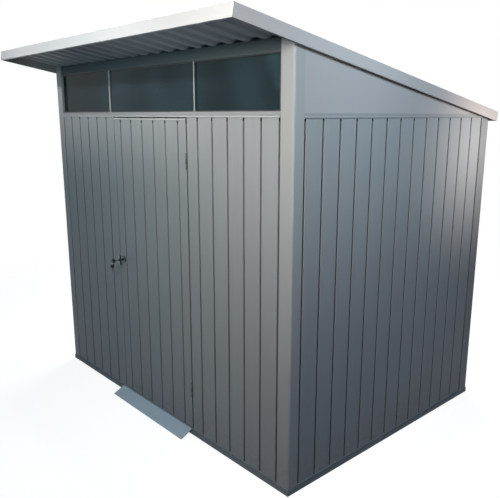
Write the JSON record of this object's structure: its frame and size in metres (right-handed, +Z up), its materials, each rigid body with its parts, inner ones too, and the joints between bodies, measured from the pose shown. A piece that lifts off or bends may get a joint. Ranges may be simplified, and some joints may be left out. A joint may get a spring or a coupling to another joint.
{
  "type": "metal tool shed",
  "caption": "Lean-to shed of grooved metal sheets with a fascia-edged roof, a strip of windows under the eave, a hinged door with a T handle and a threshold ramp.",
  "frame": {"origin": "on the ground under the middle of the whole shed, roof overhangs included", "axes": "+X to the right seen from the front, +Y to the rear, +Z up; the door is in the front, which faces -Y"},
  "size_m": [2.456, 2.2204, 2.3285],
  "materials": {
    "base_rail": "satin painted base rail",
    "floor": "galvanised sheet",
    "galvanised": "galvanised folded channel",
    "ramp": "satin pale blue-grey",
    "posts": "semi-gloss silver paint",
    "wall_sheet": "semi-gloss silver paint",
    "door_sheet": "semi-gloss silver paint",
    "gable": "semi-gloss silver paint",
    "trim": "semi-gloss silver paint",
    "header": "satin slate grey",
    "window_bar": "white paint",
    "window_pane": "clear acrylic pane",
    "hinge": "dull steel",
    "handle_metal": "polished",
    "key_plastic": "black plastic head",
    "ring_wire": "bright wire",
    "roof_sheet": "satin painted sheet",
    "fascia": "semi-gloss pale silver paint"
  },
  "bodies": {
    "shell": {"base_rail_front": "base_rail", "base_rail_rear": "base_rail", "base_rail_left": "base_rail", "base_rail_right": "base_rail", "floor_sheet": "floor", "floor_joists": "galvanised", "threshold_ramp": "ramp", "post_front_left": "posts", "post_front_right": "posts", "post_rear_left": "posts", "post_rear_right": "posts", "front_wall_left": "wall_sheet", "front_wall_right": "wall_sheet", "left_wall": "wall_sheet", "right_wall": "wall_sheet", "rear_wall": "wall_sheet", "left_gable": "gable", "right_gable": "gable", "left_trim": "trim", "right_trim": "trim", "rear_top_rail": "trim", "window_sill_rail": "trim", "window_header": "header", "window_bar_left": "window_bar", "window_bar_right": "window_bar", "window_pane_left": "window_pane", "window_pane_middle": "window_pane", "window_pane_right": "window_pane", "door_jamb_left": "galvanised", "door_jamb_right": "galvanised", "hinge_frame_leaves": "hinge", "roof_sheet": "roof_sheet", "fascia_front": "fascia", "fascia_rear": "fascia", "fascia_left": "fascia", "fascia_right": "fascia", "roof_beam": "galvanised"},
    "door": {"door_sheet": "door_sheet", "door_top_trim": "trim", "door_rails": "galvanised", "door_stiles": "galvanised", "hinge_door_leaves": "hinge", "handle_rose": "handle_metal"},
    "handle": {"handle": "handle_metal", "key": "key_plastic"},
    "spare_key": {"key_ring": "ring_wire", "spare_key": "key_plastic"}
  },
  "joints": [
    {"name": "door_hinge", "type": "hinge", "parent": "shell", "child": "door", "pos_m": [0.393, -0.74021, 0.98], "axis": [0, 0, 1], "range_deg": [0, 110]},
    {"name": "handle_turn", "type": "hinge", "parent": "door", "child": "handle", "pos_m": [-0.344, -0.73821, 0.97], "axis": [0, -1, 0], "range_deg": [0, 90]},
    {"name": "spare_key_swing", "type": "hinge", "parent": "handle", "child": "spare_key", "pos_m": [-0.344, -0.82371, 0.958], "axis": [0, -1, 0], "range_deg": [-90, 90]}
  ]
}
